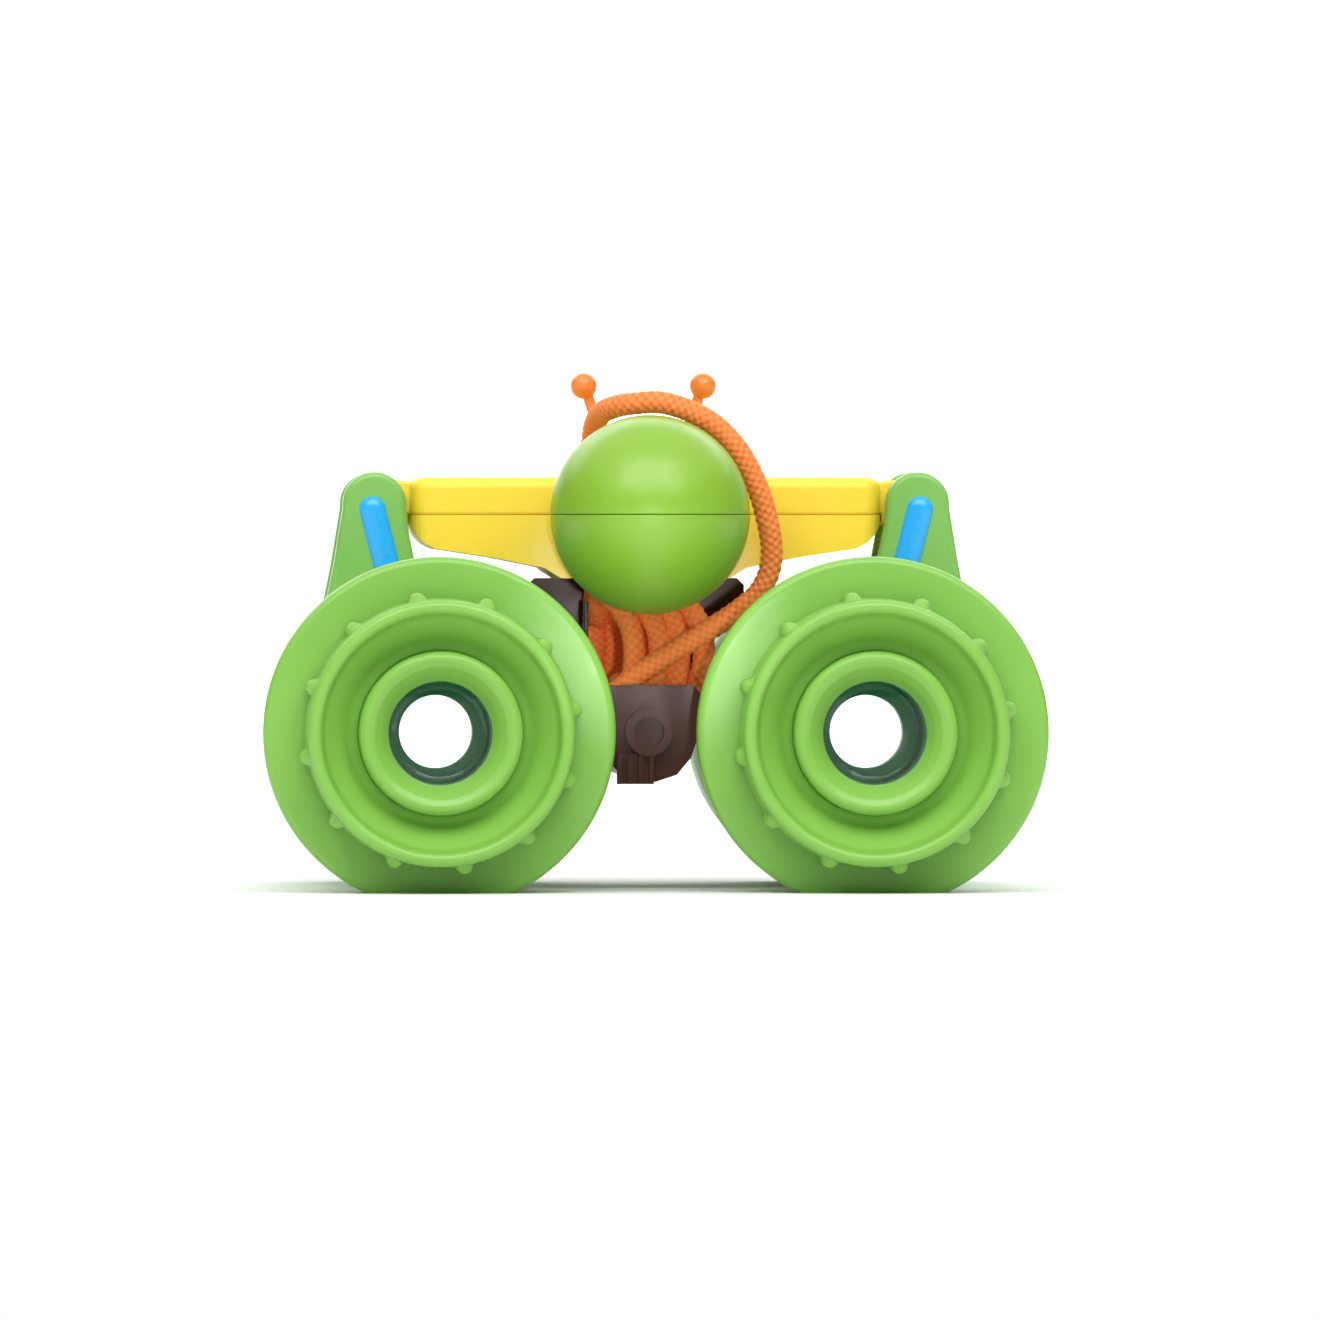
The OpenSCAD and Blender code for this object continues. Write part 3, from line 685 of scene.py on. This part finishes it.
def smooth_line(pts, n=14):
    """Catmull-Rom curve through points."""
    p = np.array(pts, float)
    p = np.vstack([2 * p[0] - p[1], p, 2 * p[-1] - p[-2]])
    out = []
    for i in range(1, len(p) - 2):
        for k in range(n):
            t = k / n
            out.append(0.5 * ((2 * p[i]) + (-p[i - 1] + p[i + 1]) * t
                              + (2 * p[i - 1] - 5 * p[i] + 4 * p[i + 1] - p[i + 2]) * t * t
                              + (-p[i - 1] + 3 * p[i] - 3 * p[i + 1] + p[i + 2]) * t ** 3))
    out.append(p[-2])
    return out


def waist(y):
    d = abs(y - 11.5)
    return 3.5 * math.cos(math.pi * d / 17.2) ** 2 if d < 8.6 else 0.0


def cord_path():
    pts = [np.array(q) for q in smooth_line([(-7.6, 0.8, 58.6)] + LEAD)]
    zc, R, y0, y1 = 33.7, 8.2, 1.7, 21.3
    for k in range(5):
        x = -6.2 + 3.1 * k
        start = 0.6 if k == 0 else y0
        for i in range(1, 40):
            y = start + (y1 - start) * i / 40
            pts.append(np.array([x, y, zc - R + waist(y)]))
        for i in range(0, 31 if k < 4 else 16):
            a = -math.pi / 2 + math.pi * i / 30
            pts.append(np.array([x, y1 + R * math.cos(a), zc + R * math.sin(a)]))
        if k == 4:
            break
        for i in range(1, 40):
            y = y1 + (y0 - y1) * i / 40
            pts.append(np.array([x, y, zc + R - waist(y)]))
        for i in range(0, 31):
            a = math.pi / 2 + math.pi * i / 30
            u = i / 30
            lean = LOOP_LEAN[k] * math.sin(math.pi * u ** 0.8) ** 2
            u = u * u * (3 - 2 * u)
            pts.append(np.array([x + 3.1 * u + lean, y0 + (R + LOOP_REACH[k]) * math.cos(a), zc + R * math.sin(a)]))
    pts += [np.array(q) for q in smooth_line(TAIL + [(6.2, 28.9, 43.2)])][2:]
    return resample(np.array(pts), 0.18)


def resample(p, step):
    seg = np.linalg.norm(np.diff(p, axis=0), axis=1)
    keep = np.concatenate([[True], seg > 1e-6])
    p = p[keep]
    s = np.concatenate([[0], np.cumsum(np.linalg.norm(np.diff(p, axis=0), axis=1))])
    n = int(round(s[-1] / step))
    t = np.linspace(0, s[-1], n + 1)
    q = np.stack([np.interp(t, s, p[:, i]) for i in range(3)], 1)
    # ease out the small corners between the pieces of the route
    w = np.exp(-np.linspace(-2, 2, 17) ** 2)
    w /= w.sum()
    pad = np.vstack([2 * q[0] - q[8:0:-1], q, 2 * q[-1] - q[-2:-10:-1]])
    return np.stack([np.convolve(pad[:, i], w, "valid") for i in range(3)], 1)


def cord_material():
    """Braided polyester: painted light on the strand tops, painted shade in the grooves, fine fibres along the
    strands.
    """
    m, nt, sh = new_material("braided_cord")
    at = nt.nodes.new("ShaderNodeAttribute")
    at.attribute_name = "braid"
    sep = nt.nodes.new("ShaderNodeSeparateColor")
    nt.links.new(at.outputs["Color"], sep.inputs[0])
    tc = nt.nodes.new("ShaderNodeTexCoord").outputs["Object"]
    blot = noise(nt, tc, 260.0, 2.0)
    # painted shade in the grooves and painted light on the strand tops, mixed by strand height
    deep = mix_color(nt, sep.outputs[0], srgb(232, 60, 20), srgb(255, 150, 74))
    tone = mix_color(nt, remap(nt, blot, 0.0, 0.2, 0.35, 0.7), deep, srgb(255, 146, 78))
    fib = nt.nodes.new("ShaderNodeTexWave")
    fib.wave_type = "BANDS"
    fib.bands_direction = "X"
    fib.inputs["Scale"].default_value = 9.0
    fib.inputs["Distortion"].default_value = 1.5
    fib.inputs["Detail"].default_value = 2.0
    comb = nt.nodes.new("ShaderNodeCombineXYZ")
    nt.links.new(sep.outputs[1], comb.inputs[0])
    nt.links.new(sep.outputs[2], comb.inputs[1])
    nt.links.new(comb.outputs[0], fib.inputs["Vector"])
    col = mix_color(nt, remap(nt, fib.outputs["Fac"], 0.0, 0.35), tone, srgb(255, 160, 92))
    nt.links.new(col, sh.inputs["Base Color"])
    nt.links.new(remap(nt, fib.outputs["Fac"], 0.42, 0.62), sh.inputs["Roughness"])
    bp = nt.nodes.new("ShaderNodeBump")
    bp.inputs["Strength"].default_value = 0.35
    bp.inputs["Distance"].default_value = 0.00008
    nt.links.new(fib.outputs["Fac"], bp.inputs["Height"])
    nt.links.new(bp.outputs["Normal"], sh.inputs["Normal"])
    sh.inputs["Specular IOR Level"].default_value = 0.3
    # a faint orange emission is painted light, keeping the cord bright in the shade under the ball
    sh.inputs["Emission Color"].default_value = (1.0, 0.19, 0.045, 1.0)
    sh.inputs["Emission Strength"].default_value = 0.06
    return m


def build_cord():
    p = cord_path()
    n, around, carriers, pitch = len(p), 44, 6, 7.2
    t = np.gradient(p, axis=0)
    t /= np.linalg.norm(t, axis=1)[:, None]
    s = np.concatenate([[0], np.cumsum(np.linalg.norm(np.diff(p, axis=0), axis=1))])
    nrm = np.cross(t[0], [1.0, 0, 0])
    nrm /= np.linalg.norm(nrm)
    frames = []
    for i in range(n):
        nrm = nrm - t[i] * np.dot(nrm, t[i])
        nrm /= np.linalg.norm(nrm)
        frames.append((nrm.copy(), np.cross(t[i], nrm)))
    N = np.array([f[0] for f in frames])
    B = np.array([f[1] for f in frames])
    th = 2 * np.pi * np.arange(around) / around
    A = th[None, :] / (2 * np.pi) * carriers - s[:, None] * carriers / pitch
    C = th[None, :] / (2 * np.pi) * carriers + s[:, None] * carriers / pitch
    i, j = np.floor(A), np.floor(C)
    pa, pc = A - i - 0.5, C - j - 0.5
    bulge = lambda x: np.sqrt(np.clip(1 - (x / 0.53) ** 2, 0, 1))
    ha = 0.6 * bulge(pa) + 0.4 * np.cos(np.pi * (C - 0.5) + np.pi * i)
    hc = 0.6 * bulge(pc) - 0.4 * np.cos(np.pi * (A - 0.5) + np.pi * j)
    over = ha > hc
    h = np.maximum(ha, hc)
    rad = 1.22 + 0.42 * h
    V = p[:, None, :] + rad[..., None] * (np.cos(th)[None, :, None] * N[:, None, :] + np.sin(th)[None, :, None] * B[:, None, :])
    verts = V.reshape(-1, 3)
    faces = []
    for a in range(n - 1):
        for b in range(around):
            c = (b + 1) % around
            faces.append((a * around + b, a * around + c, (a + 1) * around + c, (a + 1) * around + b))
    faces.append(tuple(reversed(range(around))))
    faces.append(tuple((n - 1) * around + b for b in range(around)))
    me = bpy.data.meshes.new("neck_cord")
    me.from_pydata([tuple(v * MM) for v in verts], [], faces)
    me.update()
    col = me.color_attributes.new("braid", "FLOAT_COLOR", "POINT")
    data = np.ones((n * around, 4), np.float32)
    # strand height, which the cord material turns into painted groove shade and painted top light
    shade_and_light_mask = np.clip((h - 0.25) / 0.7, 0, 1)
    data[:, 0] = shade_and_light_mask.reshape(-1)
    data[:, 1] = np.where(over, pa, pc).reshape(-1)
    data[:, 2] = np.where(over, C, A).reshape(-1) * 0.12
    col.data.foreach_set("color", data.reshape(-1))
    ob = dress("neck_cord", me, "bridge", cord_material(), ("cord_lead", "cord_hank", "cord_tail"), 80, False)
    step = 8
    path = [tuple(v * MM) for v in p[::step]]
    if (n - 1) % step:
        path.append(tuple(p[-1] * MM))
    return ob


build_cord()

# ---------------------------------------------------------------- floor, light, camera


def sweep_floor():
    """Pale floor that curves up into a pale backdrop."""
    verts, faces = [], []
    line = [(-3.4, 0.0), (-1.0, 0.0), (1.0, 0.0), (3.2, 0.0)]
    for i in range(1, 25):
        a = math.pi / 2 * i / 24
        line.append((3.2 + 1.0 * math.sin(a), 1.0 * (1 - math.cos(a))))
    line.append((4.2, 4.0))
    for y, z in line:
        verts += [(-4.0, y, z), (4.0, y, z)]
    for i in range(len(line) - 1):
        faces.append((2 * i, 2 * i + 1, 2 * i + 3, 2 * i + 2))
    me = bpy.data.meshes.new("studio_floor")
    me.from_pydata(verts, [], faces)
    me.shade_smooth()
    m, nt, sh = new_material("floor_paper")
    tc = nt.nodes.new("ShaderNodeTexCoord").outputs["Object"]
    n1 = noise(nt, tc, 60.0, 3.0)
    nt.links.new(mix_color(nt, n1, (0.90, 0.90, 0.90), (0.93, 0.93, 0.93)), sh.inputs["Base Color"])
    sh.inputs["Roughness"].default_value = 0.85
    sh.inputs["Specular IOR Level"].default_value = 0.2
    me.materials.append(m)
    ob = bpy.data.objects.new("studio_floor", me)
    scene.collection.objects.link(ob)


sweep_floor()

world = bpy.data.worlds.new("studio")
scene.world = world
world.use_nodes = True
bg = world.node_tree.nodes["Background"]
bg.inputs[0].default_value = (1.0, 1.0, 1.0, 1.0)
bg.inputs[1].default_value = 0.06


def area(name, loc, target, size, power, color=(1, 1, 1)):
    d = bpy.data.lights.new(name, "AREA")
    d.shape = "RECTANGLE"
    d.size, d.size_y = size
    d.energy = power
    d.color = color
    o = bpy.data.objects.new(name, d)
    scene.collection.objects.link(o)
    o.location = loc
    o.rotation_mode = "QUATERNION"
    o.rotation_quaternion = (Vector(target) - Vector(loc)).to_track_quat("-Z", "Y")
    return o


MID = (0.0, 0.0, 0.035)
area("ceiling", (0.0, 0.5, 2.4), (0.0, 0.5, 0.0), (6.0, 8.4), 132.0)
area("top_soft", (0.0, -0.66, 0.82), MID, (1.2, 0.7), 8.6)
area("left_soft", (-0.75, -0.80, 0.16), MID, (0.34, 0.30), 0.15)
area("right_soft", (0.75, -0.80, 0.16), MID, (0.34, 0.30), 0.15)
area("front_soft", (0.0, -1.9, 0.42), MID, (0.9, 0.5), 0.5)
spot_d = bpy.data.lights.new("cord_fill", "SPOT")
spot_d.energy = 60.0
spot_d.spot_size = math.radians(1.2)
spot_d.spot_blend = 1.0
spot_d.shadow_soft_size = 0.015
spot = bpy.data.objects.new("cord_fill", spot_d)
scene.collection.objects.link(spot)
spot.location = (0.0, -0.9, 0.030)
spot.rotation_mode = "QUATERNION"
spot.rotation_quaternion = (Vector((-0.0004, -0.008, 0.0385)) - Vector(spot.location)).to_track_quat("-Z", "Y")
area("back_soft", (0.0, 2.2, 1.3), (0.0, 3.9, 0.15), (4.2, 1.2), 60.0)
area("back_floor", (0.0, 2.0, 1.4), (0.0, 2.3, 0.0), (5.0, 2.0), 55.0)
area("near_floor", (0.0, -1.9, 1.6), (0.0, -1.8, 0.0), (4.0, 1.4), 16.0)

AZ, EL, DIST = -2.4, 0.35, 2.5
WIDTH = 1320 * 0.14 * MM
cam_d = bpy.data.cameras.new("camera")
cam = bpy.data.objects.new("camera", cam_d)
scene.collection.objects.link(cam)
cam_d.sensor_fit = "HORIZONTAL"
cam_d.sensor_width = 36.0
cam_d.lens = 36.0 * DIST / WIDTH
a, e = math.radians(AZ), math.radians(EL)
back = Vector((math.sin(a) * math.cos(e), -math.cos(a) * math.cos(e), math.sin(e)))
aim = Vector(((660 - 656.8) * 0.14 * MM, -0.041, ((733 - 660) * 0.14 + 22.4) * MM))
cam.location = aim + back * DIST
cam.rotation_mode = "QUATERNION"
cam.rotation_quaternion = (-back).to_track_quat("-Z", "Y")
cam_d.clip_start, cam_d.clip_end = 0.01, 50.0
scene.camera = cam

scene.view_settings.view_transform = "Standard"
scene.view_settings.look = "None"
scene.view_settings.exposure = 0.0
scene.view_settings.gamma = 1.0
